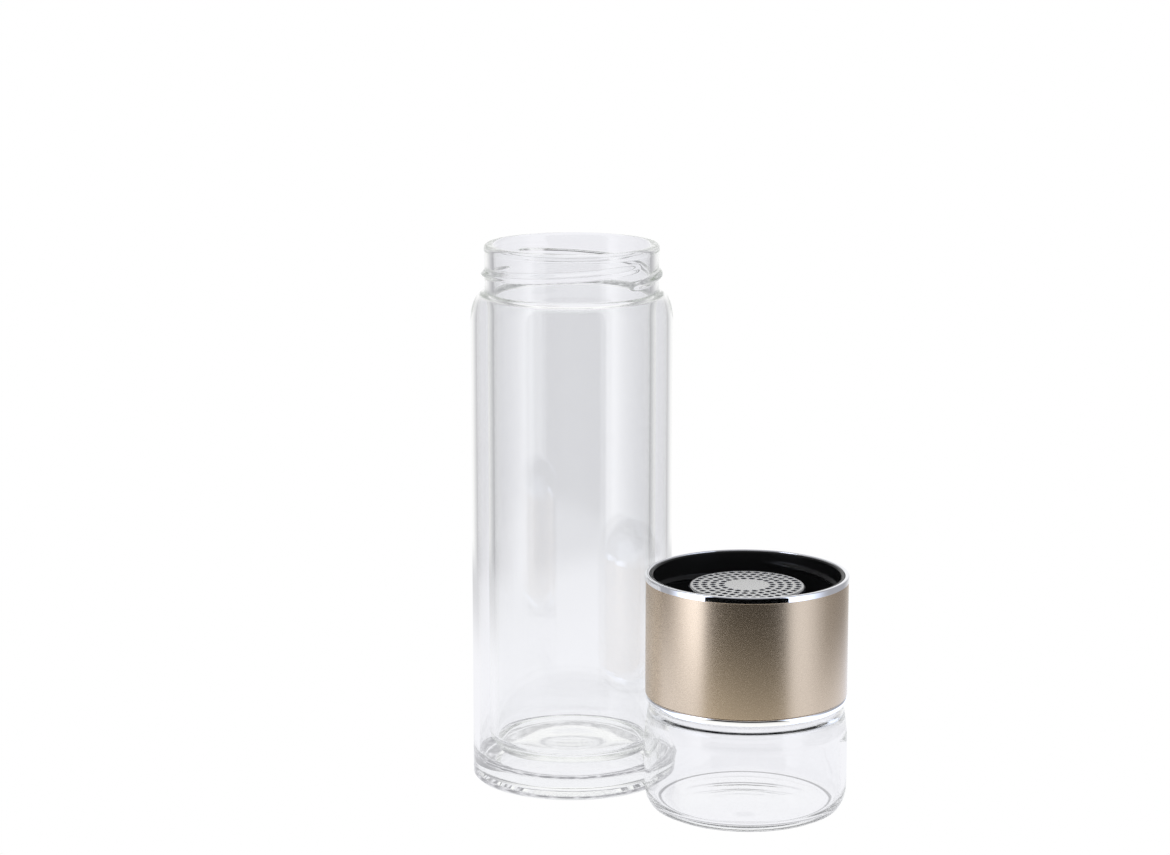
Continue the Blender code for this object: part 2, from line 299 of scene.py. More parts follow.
class Finish:
    """The node graph of a material or a world, built from nothing."""

    def __init__(self, owner):
        owner.use_nodes = True
        self.owner = owner
        self.tree = owner.node_tree
        self.tree.nodes.clear()

    def node(self, kind, settings=None, sockets=None, out=0):
        """Add a node, give it its settings and then its sockets, and return one output as a wire."""
        made = self.tree.nodes.new(kind)
        for name, value in (settings or {}).items():
            setattr(made, name, value)
        for name, value in (sockets or {}).items():
            if isinstance(value, Wire):
                self.tree.links.new(value.socket, made.inputs[name])
            else:
                made.inputs[name].default_value = value
        return Wire(self, made.outputs[out]) if made.outputs else None

    def math(self, operation, *values):
        """A Math node that works on one or two values."""
        return self.node("ShaderNodeMath", {"operation": operation}, dict(enumerate(values)))

    def vector(self, operation, *values, out=0):
        """A Vector Math node that works on one or two vectors."""
        return self.node("ShaderNodeVectorMath", {"operation": operation}, dict(enumerate(values)), out)

    def ramp(self, value, low, high):
        """A value that runs from 0 at low to 1 at high, and stays there outside, with soft ends."""
        return self.node("ShaderNodeMapRange", {"interpolation_type": "SMOOTHSTEP"},
                         {"Value": value, "From Min": low, "From Max": high})

    def blend(self, factor, first, second):
        """A colour between two: the first where the factor is 0, and the second where it is 1."""
        return self.node("ShaderNodeMix", {"data_type": "RGBA"}, {0: factor, 6: first, 7: second}, out=2)

    def place(self, scale=(1.0, 1.0, 1.0)):
        """The point on the piece, in metres, times a scale for each axis."""
        point = self.node("ShaderNodeTexCoord", out="Object")
        return self.node("ShaderNodeMapping", sockets={"Vector": point, "Scale": scale})

    def height(self):
        """How high the point is above the table."""
        return self.node("ShaderNodeSeparateXYZ", sockets={0: self.place()}, out="Z")

    def distance_from(self, axis):
        """How far the point is from an upright axis: the length of its level offset from it."""
        offset = self.vector("SUBTRACT", self.place(), tuple(axis))
        level = self.vector("MULTIPLY", offset, (1.0, 1.0, 0.0))
        return self.vector("LENGTH", level, out="Value")

    def noise(self, scale, squeeze=(1.0, 1.0, 1.0), detail=2.0):
        """A soft random pattern from 0 to 1, with about scale spots to a metre, squeezed as given."""
        return self.node("ShaderNodeTexNoise",
                         sockets={"Vector": self.place(squeeze), "Scale": scale, "Detail": detail})

    def bump(self, height, distance, **base):
        """A normal that leans as if the surface rose by height times distance.

        It starts from another Normal where one is given.
        """
        return self.node("ShaderNodeBump",
                         sockets={"Height": height, "Distance": distance, "Strength": 1.0, **base})

    def bearing_deg(self, direction):
        """A direction's bearing: 0 towards the front, where the camera is, and more to the right."""
        across = self.node("ShaderNodeSeparateXYZ", sockets={0: direction}, out="X")
        return self.math("ARCTAN2", across, -1 * across.other("Y")) * math.degrees(1.0)

    def reflected(self):
        """1 for a ray that has been mirrored on its way from the camera, and 0 for any other."""
        return self.math("MINIMUM", self.node("ShaderNodeLightPath", out="Glossy Depth"), 1.0)


def material(name):
    """An empty material and its finish."""
    return Finish(bpy.data.materials.new(name))


# %% [markdown]
# ## The camera
#
# The view decides how every round edge falls, so it comes before the finishes. The camera stands
# almost straight in front of the bottle, a little under a metre away, and looks down by eleven
# degrees. A long lens keeps the two parts' widths true to each other.

# %% Set up the camera
camera_right = 0.0043
camera_back = 0.967
camera_height = 0.3099
camera_tilt_deg = 78.747
camera_lens_mm = 92.31
camera_sensor_mm = 36.0

camera_data = bpy.data.cameras.new("camera")
camera_data.lens = camera_lens_mm
camera_data.sensor_width = camera_sensor_mm
camera = bpy.data.objects.new("camera", camera_data)
camera.location = (bottle_axis[0] + camera_right, bottle_axis[1] - camera_back, camera_height)
camera.rotation_euler = (math.radians(camera_tilt_deg), 0.0, 0.0)
bpy.context.collection.objects.link(camera)
bpy.context.scene.camera = camera
print("Camera at", [round(value, 3) for value in camera.location])

# %% [markdown]
# ## The studio
#
# Glass and polished metal have no look of their own: they show what is round them. A product studio
# has a white sweep behind, a tall light box at each side, and a dark room in front, where the camera
# is. The dark strip down the middle of each part is that dark room. Lamps and cards could stand in
# for it all, but here the world does it by compass direction, which leaves no card in other views.
# Rays that have been reflected see the studio, and rays that only pass through glass see the sweep.
#
# The bottle and the infuser stand in different places, so each has its own view of the boxes. Only
# glass gives rays that are called singular, as from a perfect mirror, so they tell the two apart.
# The boxes are brighter and bluer for metal, because the sleeve's own colour takes blue away, and
# the ceiling over it is grey. The world is the only lamp; the floor adds a painted glow of its own.
# The world's picture changes with the kind of ray, so Cycles isn't told to sample it as a lamp.
# Light that gets into a glass wall can be guided round inside it for hundreds of bounces. Cut
# short, it would leave black patches, so the limit is high.

# %% The studio's colours and bearings
sweep_white = (1.0, 1.0, 1.0, 1.0)
sweep_through_glass = (0.905, 0.905, 0.945, 1.0)
left_box_for_glass = (1.10, 1.10, 1.12, 1.0)
right_box_for_glass = (0.95, 0.95, 0.97, 1.0)
left_box_for_metal = (2.55, 2.75, 3.25, 1.0)
right_box_for_metal = (1.42, 1.55, 1.85, 1.0)
side_grey = (0.40, 0.40, 0.42, 1.0)
ceiling_for_metal = (0.42, 0.42, 0.44, 1.0)
dark_room = (0.012, 0.012, 0.014, 1.0)
dark_left_for_glass_deg = -54.0
dark_right_for_glass_deg = 40.0
dark_left_for_metal_deg = -49.0
dark_right_for_metal_deg = 42.0
dark_edge_deg = 2.5
dark_top_deg = 48.0
box_full_deg = 58.0
box_gone_for_glass_deg = 84.0
box_gone_for_metal_deg = 104.0
sweep_start_deg = 132.0
sweep_full_deg = 170.0
print("Studio: dark room from", dark_left_for_glass_deg, "to", dark_right_for_glass_deg, "degrees")

# %% The world by direction
light_bounces = 400

scene = bpy.context.scene
scene.view_settings.view_transform = "Standard"
scene.cycles.max_bounces = light_bounces
scene.cycles.transmission_bounces = light_bounces
scene.cycles.glossy_bounces = light_bounces

world = bpy.data.worlds.new("studio")
scene.world = world
world.cycles.sampling_method = "NONE"
studio = Finish(world)
heading = studio.node("ShaderNodeTexCoord", out="Generated")
up = studio.node("ShaderNodeSeparateXYZ", sockets={0: heading}, out="Z")
azimuth_deg = studio.bearing_deg(heading)
elevation_deg = studio.math("ARCSINE", up) * math.degrees(1.0)
from_front_deg = studio.math("ABSOLUTE", azimuth_deg)
is_camera = studio.node("ShaderNodeLightPath", out="Is Camera Ray")
from_glass = is_camera.other("Is Singular Ray")


def for_kind(for_metal, for_glass):
    """A number for each kind of ray: metal's, plus from_glass times the difference to glass's."""
    return for_metal + (for_glass - for_metal) * from_glass


def past(value, edge_for_metal, edge_for_glass):
    """1 where a value is past an edge and 0 before it. Each kind of ray has its own edge."""
    edge = for_kind(edge_for_metal, edge_for_glass)
    return studio.ramp(value, edge - dark_edge_deg / 2, edge + dark_edge_deg / 2)


left_box = studio.blend(from_glass, left_box_for_metal, left_box_for_glass)
right_box = studio.blend(from_glass, right_box_for_metal, right_box_for_glass)
box = studio.blend(azimuth_deg > 0.0, left_box, right_box)
box_gone_deg = for_kind(box_gone_for_metal_deg, box_gone_for_glass_deg)
side = studio.blend(studio.ramp(from_front_deg, box_full_deg, box_gone_deg), box, side_grey)
around = studio.blend(studio.ramp(from_front_deg, sweep_start_deg, sweep_full_deg), side, sweep_white)
dark = (past(azimuth_deg, dark_left_for_metal_deg, dark_left_for_glass_deg)
        * (1 - past(azimuth_deg, dark_right_for_metal_deg, dark_right_for_glass_deg)))
overhead = studio.ramp(elevation_deg, dark_top_deg, dark_top_deg + dark_edge_deg)
ceiling = studio.blend(from_glass, ceiling_for_metal, sweep_white)
seen_in_gloss = studio.blend(overhead, studio.blend(dark, around, dark_room), ceiling)
seen = studio.blend(studio.reflected(), sweep_through_glass, seen_in_gloss)
seen = studio.blend(is_camera, seen, sweep_white)
light = studio.node("ShaderNodeBackground", sockets={"Color": seen})
studio.node("ShaderNodeOutputWorld", sockets={"Surface": light})
print("World made of", len(world.node_tree.nodes), "nodes")

# %% [markdown]
# ## The table
#
# The table is white and small. Low down, the glass mirrors the table on every side and looks even.
# Higher up, the mirrored rays pass over its edge, and the strips of light and dark begin. So the
# floor is a wide plane for the eye, and for reflections it is a table that dims outwards and ends.
# The floor is lit by nothing: it glows, and its glow is painted light, plain white to the eye. The
# dimming that reflections see is painted shade. Metal has a table of its own: in front it fades to
# the black of the dark room, in painted shade, and beside that it stays bright, with painted bluish
# light, and ends sooner.
#
# Where glass stands on a table, a thin line of shadow shows through its foot. That contact shadow
# is painted on the floor: a grey ring under the cup, and a patchy one under the bottle. Only rays
# that come through glass see them. Ambient occlusion, which measures how open the space above a
# point is, takes a ring of painted shadow away when the glass that stood on it is lifted.

# %% The table's colours and reaches
# Painted light and shade of the glowing table, as glass and metal mirror it.
near_for_glass = (0.92, 0.92, 0.955, 1.0)
far_for_glass = (0.70, 0.70, 0.72, 1.0)
glass_dims_from = 0.17
glass_dims_to = 0.30
glass_edge_from = 0.295
glass_edge_to = 0.372
near_for_metal = (1.16, 1.14, 1.08, 1.0)
far_for_metal = (0.0, 0.0, 0.0, 1.0)
beside_for_metal = (1.25, 1.34, 1.56, 1.0)
metal_dims_from = 0.06
metal_dims_to = 0.33
metal_edge_from = 0.14
metal_edge_to = 0.30
# Painted contact shadow: its grey, its soft edge, and the rings where it lies under each glass.
contact_shadow_grey = (0.35, 0.35, 0.37, 1.0)
contact_soft = 0.0006
cup_contact = 0.0283
bottle_contact_inner = 0.0262
bottle_contact_outer = 0.0315
patch_scale = 260.0
patch_from = 0.20
patch_full = 0.60
cover_reach = 0.0012
cover_samples = 8
open_from = 0.25
open_full = 0.75
print("Table edge from", glass_edge_from, "to", glass_edge_to, "m")

# %% The floor
floor_reach = 6.0

floor_mesh = bpy.data.meshes.new("floor")
corner_signs = np.array([[-1, -1, 0], [1, -1, 0], [1, 1, 0], [-1, 1, 0]], float)
floor_mesh.from_pydata((corner_signs * floor_reach).tolist(), [], [[0, 1, 2, 3]])
floor = bpy.data.objects.new("floor", floor_mesh)
bpy.context.collection.objects.link(floor)

table = material("white_table")
middle_distance = table.distance_from((0.0, 0.0, 0.0))
eye = table.node("ShaderNodeLightPath", out="Is Camera Ray")
in_glass = eye.other("Is Singular Ray")
in_mirror = table.reflected()
bearing_deg = table.bearing_deg(table.vector("SUBTRACT", table.place(), tuple(infuser_axis)))
beside = 1 - (bearing_deg > dark_left_for_metal_deg) * (bearing_deg < dark_right_for_metal_deg)


def contact(axis, inner, outer):
    """1 on the table in a ring between two radii from an axis, for painted contact shadow, and 0 outside
    it.
    """
    radius = table.distance_from(axis)
    return (table.ramp(radius, inner - contact_soft, inner)
            * (1 - table.ramp(radius, outer, outer + contact_soft)))


patches = table.ramp(table.noise(patch_scale), patch_from, patch_full)
painted_contact_shadow = (contact(infuser_axis, cup_contact - contact_soft, cup_contact)
                    + contact(bottle_axis, bottle_contact_inner, bottle_contact_outer) * patches)
openness = table.node("ShaderNodeAmbientOcclusion", {"samples": cover_samples},
                      {"Distance": cover_reach}, out="AO")
contact_shadow_mask = painted_contact_shadow * (1 - table.ramp(openness, open_from, open_full))
gone_for_glass = table.ramp(middle_distance, glass_edge_from, glass_edge_to)
gone_for_metal = beside * table.ramp(middle_distance, metal_edge_from, metal_edge_to)
gone = in_mirror * (in_glass * gone_for_glass + (1 - in_glass) * gone_for_metal)
glass_table = table.blend(table.ramp(middle_distance, glass_dims_from, glass_dims_to),
                          near_for_glass, far_for_glass)
metal_table = table.blend(table.ramp(middle_distance, metal_dims_from, metal_dims_to),
                          near_for_metal, far_for_metal)
metal_table = table.blend(beside, metal_table, beside_for_metal)
mirrored = table.blend(in_glass, metal_table, glass_table)
# Rays past the eye see the painted contact shadow's grey where a glass stands on the table.
past_the_eye = table.blend(contact_shadow_mask, table.blend(in_mirror, sweep_through_glass, mirrored), contact_shadow_grey)
shown = table.blend(eye, past_the_eye, sweep_white)
# The table's glow, painted light: white to the eye, dimmed and tinted in reflections.
white = table.node("ShaderNodeEmission", sockets={"Color": shown})
clear = table.node("ShaderNodeBsdfTransparent")
table_shader = table.node("ShaderNodeMixShader", sockets={0: gone, 1: white, 2: clear})
table.node("ShaderNodeOutputMaterial", sockets={"Surface": table_shader})
floor_mesh.materials.append(table.owner)
print("Floor made, with a finish of", len(table.tree.nodes), "nodes")

# %% [markdown]
# ## Clear glass
#
# Borosilicate glass has no colour in a thin wall, and turns faintly green where the eye looks along
# it, as at a rim. A tint in the shader would colour thin and thick alike, so the tint comes from
# absorption inside the glass. A very slight waviness, which blown glass always has, breaks up the
# mirror lines. The bottle's foot is stippled, so what shows through it is broken into fine grit.

# %% The glass finish
glass_ior = 1.474
glass_colour = (0.995, 0.997, 0.996, 1.0)
glass_absorbed = (0.42, 0.70, 0.20, 1.0)
glass_density = 0.3
wave_scale = 55.0
wave_squeeze = (1.0, 1.0, 0.5)
wave_height = 0.000006
stipple_scale = 500.0
stipple_height = 0.0009
stipple_below = 0.0002
stipple_within = 0.034

glass = material("clear_glass")
waviness = glass.bump(glass.noise(wave_scale, wave_squeeze, detail=1.0), wave_height)
on_foot = (glass.height() < stipple_below) * (glass.distance_from(bottle_axis) < stipple_within)
stippled = glass.bump(glass.noise(stipple_scale, detail=1.0) * on_foot, stipple_height, Normal=waviness)
glass_shader = glass.node("ShaderNodeBsdfPrincipled", sockets={
    "Base Color": glass_colour, "Roughness": 0.0, "IOR": glass_ior,
    "Transmission Weight": 1.0, "Normal": stippled})
inside_glass = glass.node("ShaderNodeVolumeAbsorption",
                          sockets={"Color": glass_absorbed, "Density": glass_density})
glass.node("ShaderNodeOutputMaterial", sockets={"Surface": glass_shader, "Volume": inside_glass})
print("Glass finish ready")

# %% [markdown]
# ## The neck that both glasses share
#
# The bottle and the tea cup have the same neck, so that both fit the same collar. Its bore is
# straight, its lip is fire-polished round, and a thread with two starts runs a little more than half
# way round for each start.

# %% The neck
neck_radius = 0.0284
bore_radius = 0.0255
lip_round = 0.0013
lip_swell = 0.0002
lip_swell_reach = 0.0008
lip_swell_drop = 0.0004
lip_swell_start_deg = -80.0
wall_below_lip = 0.0014
bead_height = 0.0012
bead_half_width = 0.0017
bead_below_lip = 0.0113
bead_span_deg = 193.0
neck_rows = 56


def neck(top, wall_low, thread_deg):
    """The threaded outside of a neck, from wall_low up, and the lip down to the bore."""
    lip_z = top - lip_round
    wall_high = lip_z - wall_below_lip
    wall = threaded_wall(neck_radius, wall_low, wall_high, neck_rows, bead_height, bead_half_width,
                         top - bead_below_lip, thread_deg, bead_span_deg)
    swell = arc((neck_radius, lip_z - lip_swell_drop), (lip_swell, lip_swell_reach),
                lip_swell_start_deg, 0, 4)
    over = arc((neck_radius + lip_swell - lip_round, lip_z), lip_round, 0, 90, 12)
    down = arc((bore_radius + lip_round, lip_z), lip_round, 90, 180, 12)
    return wall, np.concatenate([swell, over, down])


print("Neck wall", round((neck_radius - bore_radius) * 1000, 2), "mm")

# %% [markdown]
# ## The bottle
#
# The bottle is two glasses in one: an inner vessel, and a jacket fused to its neck and to a thick
# base, with sealed air between them. The construction model has to draw it as three solids. Here it
# is what it really is, one body of glass with a closed hollow in it: one turned surface for all that
# touches the outside, and a second one, facing into the hollow.
#
# The shoulder is a quarter of an ellipse. It stops a few degrees short of the neck, where a fillet
# takes over at the same slope and turns up into the neck's wall, so its size follows from that
# slope. A thick floor of glass acts as a lens. The inner floor's low swell and the crease where the
# liner's corner meets its underside draw the rings that show there, so both are in the outline.

# %% The bottle's sizes
jacket_wall = 0.0019
liner_wall = 0.0020
liner_radius = bore_radius + liner_wall
shoulder_drop = 0.0091
shoulder_top = high_of("bottle_jacket")
shoulder_z = shoulder_top - shoulder_drop
shoulder_stop_deg = 3.0
liner_base = low_of("bottle_liner")
liner_floor = 0.0022
liner_corner = 0.0050
floor_swell = 0.0009
crease_deg = 45.0
crease_inset = 0.0008
bore_corner = 0.0030
base_height = high_of("bottle_base")
base_edge = 0.0012
base_land = 0.0060
recess_depth = 0.0010
recess_slope = 0.0020
hollow_corner = 0.0040
hollow_top_round = 0.0004
hollow_top_gap_deg = 10.0
bottle_thread_deg = 130.0
print(f"Jacket {jacket_wall * 1000:.1f} mm, liner {liner_wall * 1000:.1f} mm")

# %% The bottle's outer surface
shoulder_reach = bottle_radius - neck_radius
stop = math.radians(shoulder_stop_deg)
lean = math.atan2(shoulder_drop * math.sin(stop), shoulder_reach * math.cos(stop))
root_fillet = shoulder_reach * math.sin(stop) / (1 - math.sin(lean))
root_z = shoulder_z + shoulder_drop * math.cos(stop) + root_fillet * math.cos(lean)
base_recess = low_of("bottle_base") + recess_depth
land_inner = bottle_radius - base_edge - base_land
underside = np.concatenate([
    pole(base_recess),
    runs([(0.0, base_recess), (land_inner - recess_slope, base_recess), (land_inner, 0.0),
          (bottle_radius - base_edge, 0.0)], [4, 1, 4]),
    arc((bottle_radius - base_edge, base_edge), base_edge, -90, 0, 8)])
outside = np.concatenate([
    run((bottle_radius, base_edge), (bottle_radius, shoulder_z), 12),
    arc((neck_radius, shoulder_z), (shoulder_reach, shoulder_drop), 0, 90 - shoulder_stop_deg, 24),
    arc((neck_radius + root_fillet, root_z), root_fillet, 270 - math.degrees(lean), 180, 10)[1:]])
bottle_neck = neck(bottle_height, root_z + run_inset, bottle_thread_deg)
floor_z = liner_base + liner_floor
bore = np.concatenate([
    run((bore_radius, bottle_height - lip_round), (bore_radius, floor_z + bore_corner), 12),
    arc((bore_radius - bore_corner, floor_z + bore_corner), bore_corner, 0, crease_deg - 90, 16),
    dome(bore_radius - bore_corner, floor_z, floor_swell, 32)[::-1]])
bottle_shell = turned(underside, outside, *bottle_neck, bore)
print("Outer surface:", len(bottle_shell[0]), "points")

# %% The bottle's hollow, and the whole glass
jacket_inner = bottle_radius - jacket_wall
hollow_drop = shoulder_drop - jacket_wall
hollow_top_z = shoulder_z + hollow_drop - hollow_top_round
corner_reach = liner_corner * (1 - math.sin(math.radians(crease_deg)))
crease_radius = liner_radius - corner_reach - crease_inset
hollow = turned(
    pole(liner_base),
    run((0.0, liner_base), (crease_radius, liner_base), 6),
    arc((liner_radius - liner_corner, liner_base + liner_corner), liner_corner, crease_deg - 90, 0, 16),
    run((liner_radius, liner_base + liner_corner), (liner_radius, hollow_top_z), 12),
    arc((liner_radius + hollow_top_round, hollow_top_z), hollow_top_round,
        180, 90 + hollow_top_gap_deg, 8),
    arc((neck_radius, shoulder_z), (jacket_inner - neck_radius, hollow_drop),
        90 - hollow_top_gap_deg, 0, 20),
    run((jacket_inner, shoulder_z), (jacket_inner, base_height + hollow_corner), 12),
    arc((jacket_inner - hollow_corner, base_height + hollow_corner), hollow_corner, 0, -90, 12),
    run((jacket_inner - hollow_corner, base_height), (0.0, base_height), 6),
    pole(base_height))
piece("bottle_glass", joined(bottle_shell, hollow), bottle_axis, glass.owner, "bottle",
      ("bottle_liner", "bottle_jacket", "bottle_base"))

# %% [markdown]
# ## The tea cup
#
# The tea cup is a single wall of glass. It widens a little from its shoulder to its middle and
# rounds in to a narrow foot. Its underside is a shallow dome, so that it stands on a ring. The
# widening is part of a large circle, which is upright at the middle and has leaned in by the taper
# where the shoulder's round takes over.

# %% The tea cup's sizes
cup_radius = radius_of("tea_cup")
cup_height = high_of("tea_cup")
cup_neck_height = 0.0174
cup_root = cup_height - cup_neck_height
cup_wall = 0.0015
cup_taper_height = 0.0107
cup_taper = 0.0012
cup_shoulder_round = 0.0020
cup_inner_shoulder_drop = 0.0080
cup_shoulder_wall = 0.0014
cup_foot_round = 0.0045
cup_foot_height = 0.0083
cup_foot_land = 0.0020
cup_crease_deg = 30.0
cup_punt = 0.0010
cup_floor = 0.0018
cup_thread_deg = 24.0
cup_root_fillet = 0.0008
print(f"Cup radius {cup_radius * 1000:.1f} mm, height {cup_height * 1000:.1f} mm")

# %% The tea cup's glass
foot_radius = cup_radius - cup_foot_round
taper_radius = (cup_taper_height ** 2 + cup_taper ** 2) / (2 * cup_taper)
taper_turn = math.asin(cup_taper_height / taper_radius)
taper_deg = math.degrees(taper_turn)
taper_z = cup_root - cup_shoulder_round * (1 - math.sin(taper_turn)) - cup_taper_height
under_z = cup_root - cup_shoulder_wall - cup_inner_shoulder_drop
cup_inner = cup_radius - cup_wall
cup_floor_z = cup_floor + cup_punt
cup_outside = np.concatenate([
    dome(foot_radius - cup_foot_land, 0.0, cup_punt, 24),
    run((foot_radius - cup_foot_land, 0.0), (foot_radius, 0.0), 2),
    arc((foot_radius, cup_foot_height), (cup_foot_round, cup_foot_height), cup_crease_deg - 90, 0, 24),
    run((cup_radius, cup_foot_height), (cup_radius, taper_z), 6),
    arc((cup_radius - taper_radius, taper_z), taper_radius, 0, taper_deg, 10),
    arc((cup_radius - cup_taper - cup_shoulder_round * math.cos(taper_turn), cup_root - cup_shoulder_round),
        cup_shoulder_round, taper_deg, 90, 10)[1:],
    arc((neck_radius + cup_root_fillet, cup_root + cup_root_fillet), cup_root_fillet, 270, 180, 6)])
cup_neck = neck(cup_height, cup_root + cup_root_fillet + run_inset, cup_thread_deg)
cup_inside = np.concatenate([
    run((bore_radius, cup_height - lip_round), (bore_radius, under_z + cup_inner_shoulder_drop), 4),
    arc((bore_radius, under_z), (cup_inner - bore_radius, cup_inner_shoulder_drop), 90, 0, 16),
    run((cup_inner, under_z), (cup_inner, cup_foot_height), 6),
    arc((foot_radius, cup_foot_height), (cup_inner - foot_radius, cup_foot_height - cup_floor_z),
        0, -90, 24),
    run((foot_radius, cup_floor_z), (0.0, cup_floor_z), 6),
    pole(cup_floor_z)])
piece("tea_cup_glass", turned(cup_outside, *cup_neck, cup_inside), infuser_axis, glass.owner,
      "tea_cup", ("tea_cup",))

# %% [markdown]
# ## Metal and plastic finishes
#
# The sleeve is finely brushed metal in a champagne colour. Its mirror image of the studio is
# blurred by fine grain, so the edges of the dark room turn into soft shading. The grain is a noise
# that is squeezed in height, which draws it out round the sleeve, along the brushing. The rings are
# polished chrome, the core is black moulded plastic with a faint sheen, and the strainer is satin
# steel. Below its face, in the punched holes, the steel is painted dark, as painted shade.

# %% Two kinds of finish
grain_scale = 1500.0
brush_squeeze = (0.8, 0.8, 2.4)
metal_unevenness = 0.10
moulded_unevenness = 0.08
# Painted shade in the strainer's holes: its dark colour, the depths where it starts and is full, and its
# reach.
painted_hole_shade = (0.05, 0.05, 0.05, 1.0)
hole_shade_start = 0.00006
hole_shade_full = 0.00022
hole_shade_within = 0.0183


def inside_holes(finish):
    """1 a little below the strainer's face, as in its holes, where the steel gets painted shade, and 0 on
    the face and near its edge.
    """
    face = high_of("strainer")
    sunk = 1 - finish.ramp(finish.height(), face - hole_shade_full, face - hole_shade_start)
    return sunk * (finish.distance_from(infuser_axis) < hole_shade_within)


def metal(name, colour, roughness, grain_depth, grain_share, squeeze=(1.0, 1.0, 1.0), spread=0.0,
          shaded_where=None):
    """A metal whose roughness, colour and height follow one fine noise, squeezed as given.

    A spread above zero draws its highlights out sideways, round the piece, as fine brushing does.
    Where the shade mask is 1, the metal is painted dark, as painted shade in a punched hole.
    """
    finish = material(name)
    grain = finish.noise(grain_scale, squeeze)
    dim = tuple(channel * (1 - grain_share) for channel in colour)
    shade = finish.blend(grain, (*dim, 1.0), (*colour, 1.0))
    if shaded_where:
        shade = finish.blend(shaded_where(finish), shade, painted_hole_shade)
    shader = finish.node("ShaderNodeBsdfPrincipled", sockets={
        "Base Color": shade, "Metallic": 1.0, "Anisotropic": spread,
        "Roughness": roughness + metal_unevenness * (grain - 0.5),
        "Normal": finish.bump(grain, grain_depth)})
    finish.node("ShaderNodeOutputMaterial", sockets={"Surface": shader})
    return finish.owner


def plain(name, colour, roughness, grain_depth, scale, shine=0.5, through=0.0):
    """A moulded material: one colour with a fine uneven surface, and some light let through."""
    finish = material(name)
    grain = finish.noise(scale)
    shader = finish.node("ShaderNodeBsdfPrincipled", sockets={
        "Base Color": (*colour, 1.0), "Specular IOR Level": shine, "Transmission Weight": through,
        "Roughness": roughness + moulded_unevenness * (grain - 0.5),
        "Normal": finish.bump(grain, grain_depth)})
    finish.node("ShaderNodeOutputMaterial", sockets={"Surface": shader})
    return finish.owner


print("Two kinds of finish ready: metal and moulded")

# %% The sleeve, ring, strainer, core and seal finishes
champagne = metal("champagne_metal", colour=(0.62, 0.495, 0.36), roughness=0.26,
                  grain_depth=0.0000025, grain_share=0.28, squeeze=brush_squeeze, spread=0.6)
chrome = metal("bright_chrome", colour=(0.90, 0.91, 0.94), roughness=0.05,
               grain_depth=0.0000001, grain_share=0.02)
# The strainer's steel is painted dark in its holes, as painted shade.
steel = metal("strainer_steel", colour=(0.56, 0.56, 0.56), roughness=0.28,
              grain_depth=0.0000010, grain_share=0.10, shaded_where=inside_holes)
black = plain("black_plastic", colour=(0.007, 0.007, 0.007), roughness=0.30,
              grain_depth=0.0000020, scale=900.0, shine=0.18)
silicone = plain("clear_silicone", colour=(0.86, 0.86, 0.84), roughness=0.42,
                 grain_depth=0.0000040, scale=500.0, through=0.35)
print("Finishes ready:", ", ".join(made.name for made in (champagne, chrome, steel, black, silicone)))

# %% [markdown]
# ## The collar
#
# The collar has a black plastic core, a metal sleeve slipped over it, and a bright ring at each end
# that hides the edges. Each one is a turned ring whose outline meets itself. Real edges are never
# sharp, so even the thin sleeve gets small rounds, which catch the light as fine lines.

# %% The sleeve
sleeve_low = low_of("collar_sleeve")
sleeve_high = high_of("collar_sleeve")
sleeve_radius = radius_of("collar_sleeve")
sleeve_wall = 0.0006
sleeve_edge = 0.00015


def corner(radius, height, size, start_deg, steps=4):
    """A quarter of a circle of a size, whose middle is at a radius and a height."""
    return arc((radius, height), size, start_deg, start_deg + 90, steps)


sleeve_inner = sleeve_radius - sleeve_wall
sleeve = turned_ring(
    corner(sleeve_radius - sleeve_edge, sleeve_low + sleeve_edge, sleeve_edge, -90),
    run((sleeve_radius, sleeve_low + sleeve_edge), (sleeve_radius, sleeve_high - sleeve_edge), 8),
    corner(sleeve_radius - sleeve_edge, sleeve_high - sleeve_edge, sleeve_edge, 0),
    runs([(sleeve_radius - sleeve_edge, sleeve_high), (sleeve_inner, sleeve_high),
          (sleeve_inner, sleeve_low), (sleeve_radius - sleeve_edge, sleeve_low)], [1, 8, 1]))
piece("gold_sleeve", sleeve, infuser_axis, champagne, "collar", ("collar_sleeve",))

# %% [markdown]
# ## The two bright rings
#
# The top ring covers the edge of the collar's mouth with a flat face between two small rounds. The
# bottom ring is a bead, of which only a thin line shows. Squashed toruses would be quick, but how
# each round meets the flat beside it decides where the bright line lies, so both have outlines.

# %% The top ring and the bottom ring
collar_low = low_of("collar_bottom_ring")
collar_high = high_of("collar_top_ring")
ring_gap = 0.00005
top_ring_radius = radius_of("collar_top_ring")
top_ring_inner = 0.0312
top_ring_round = 0.0006
bottom_ring_radius = radius_of("collar_bottom_ring")
bottom_ring_inner = 0.0304
bottom_bead_height = 0.0008
bottom_bead_reach = 0.0011

top_ring_low = sleeve_high + ring_gap
top_ring = turned_ring(
    runs([(top_ring_inner, top_ring_low), (top_ring_radius, top_ring_low),
          (top_ring_radius, collar_high - top_ring_round)], [2, 2]),
    corner(top_ring_radius - top_ring_round, collar_high - top_ring_round, top_ring_round, 0, 12),
    run((top_ring_radius - top_ring_round, collar_high), (top_ring_inner + top_ring_round, collar_high)),
    corner(top_ring_inner + top_ring_round, collar_high - top_ring_round, top_ring_round, 90, 12),
    run((top_ring_inner, collar_high - top_ring_round), (top_ring_inner, top_ring_low)))
piece("chrome_top_ring", top_ring, infuser_axis, chrome, "collar", ("collar_top_ring",))

